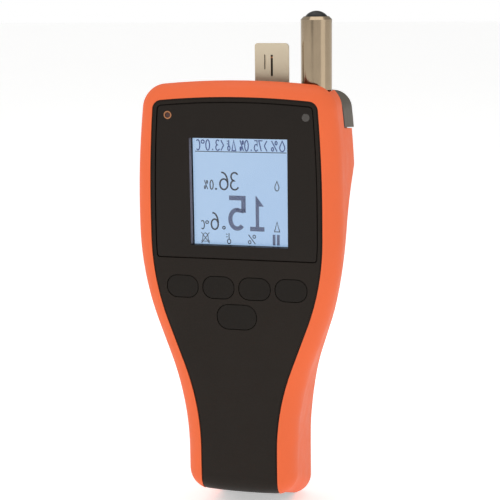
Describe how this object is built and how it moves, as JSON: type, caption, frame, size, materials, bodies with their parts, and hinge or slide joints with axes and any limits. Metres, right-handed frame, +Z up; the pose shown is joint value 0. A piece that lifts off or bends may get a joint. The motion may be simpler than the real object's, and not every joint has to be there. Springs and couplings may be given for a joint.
{
  "type": "handheld weather meter",
  "caption": "Handheld humidity and surface temperature meter: waisted two-part housing in a rubber bumper, backlit display, push keys, probe, sensor blade, sliding guard and rear tripod thread.",
  "frame": {"origin": "centre of the tripod thread's mouth on the rear face of the head", "axes": "+Z up along the body towards the sensors, +Y out of the rear face along the tripod thread, the display faces -Y, +X to the right when the display is read"},
  "size_m": [0.098, 0.0454, 0.241],
  "materials": {
    "bezel_plastic": "smooth satin moulding",
    "black_plastic": "finely textured moulding",
    "blade_metal": "bead blasted",
    "brass_insert": "turned",
    "cell_can": "printed sleeve, plain",
    "chip_plastic": "moulded",
    "circuit_board": "solder mask",
    "clear_window": "clear polished acrylic",
    "grey_plastic": "satin moulding",
    "key_rubber": "satin silicone",
    "lamp_red": "tinted lens",
    "lcd": "backlit display",
    "light_guide": "clear moulded",
    "magnet_steel": "nickel plated",
    "orange_rubber": "moulded thermoplastic rubber, satin",
    "polished_metal": "polished",
    "screw_steel": "zinc plated",
    "seal_rubber": "matte",
    "sintered_filter": "sintered, dark",
    "smoked_lens": "smoked lens",
    "stainless": "polished turned tube",
    "switch_metal": "plated",
    "white_plastic": "plain"
  },
  "bodies": {
    "case": {"backlight": "light_guide", "battery_cell_1": "cell_can", "battery_cell_2": "cell_can", "battery_contacts": "switch_metal", "battery_tray": "grey_plastic", "blade_boot": "seal_rubber", "blade_clamp": "grey_plastic", "board_chips": "chip_plastic", "board_screws": "screw_steel", "bumper": "orange_rubber", "buzzer": "chip_plastic", "cover_insert": "brass_insert", "display_bezel": "bezel_plastic", "display_window": "clear_window", "front_housing": "black_plastic", "housing_screws": "screw_steel", "housing_seal": "seal_rubber", "humidity_sensor": "circuit_board", "key_switches": "switch_metal", "lamp_ring": "polished_metal", "lcd_panel": "lcd", "lcd_tray": "white_plastic", "light_sensor": "smoked_lens", "magnets": "magnet_steel", "main_board": "circuit_board", "probe_clamp": "grey_plastic", "probe_seal": "seal_rubber", "probe_sheath": "stainless", "probe_tip": "sintered_filter", "rear_housing": "black_plastic", "status_lamp": "lamp_red", "surface_blade": "blade_metal", "temperature_bead": "polished_metal", "tripod_insert": "brass_insert", "usb_socket": "switch_metal"},
    "key_1": {"key_1": "key_rubber"},
    "key_2": {"key_2": "key_rubber"},
    "key_3": {"key_3": "key_rubber"},
    "key_4": {"key_4": "key_rubber"},
    "power_key": {"power_key": "key_rubber"},
    "guard": {"sensor_guard": "grey_plastic"},
    "cover": {"battery_cover": "black_plastic"},
    "cover_screw": {"cover_screw": "screw_steel"},
    "port_flap": {"port_cover": "orange_rubber"}
  },
  "joints": [
    {"name": "key_1_press", "type": "slide", "parent": "case", "child": "key_1", "axis": [0, 1, 0], "range_m": [0, 0.0008], "stiffness_N_per_m": 1500},
    {"name": "key_2_press", "type": "slide", "parent": "case", "child": "key_2", "axis": [0, 1, 0], "range_m": [0, 0.0008], "stiffness_N_per_m": 1500},
    {"name": "key_3_press", "type": "slide", "parent": "case", "child": "key_3", "axis": [0, 1, 0], "range_m": [0, 0.0008], "stiffness_N_per_m": 1500},
    {"name": "key_4_press", "type": "slide", "parent": "case", "child": "key_4", "axis": [0, 1, 0], "range_m": [0, 0.0008], "stiffness_N_per_m": 1500},
    {"name": "power_key_press", "type": "slide", "parent": "case", "child": "power_key", "axis": [0, 1, 0], "range_m": [0, 0.0008], "stiffness_N_per_m": 1500},
    {"name": "guard_slide", "type": "slide", "parent": "case", "child": "guard", "axis": [0, 0, 1], "range_m": [0, 0.04]},
    {"name": "cover_lift", "type": "slide", "parent": "case", "child": "cover", "axis": [0, 1, 0], "range_m": [0, 0.015]},
    {"name": "cover_screw_turn", "type": "hinge", "parent": "cover", "child": "cover_screw", "pos_m": [0, -0.002, -0.1596], "axis": [0, 1, 0], "continuous": true},
    {"name": "port_flap_swing", "type": "hinge", "parent": "case", "child": "port_flap", "pos_m": [-0.04755, -0.0311, -0.0269], "axis": [0, -1, 0], "range_deg": [0, 90]}
  ]
}
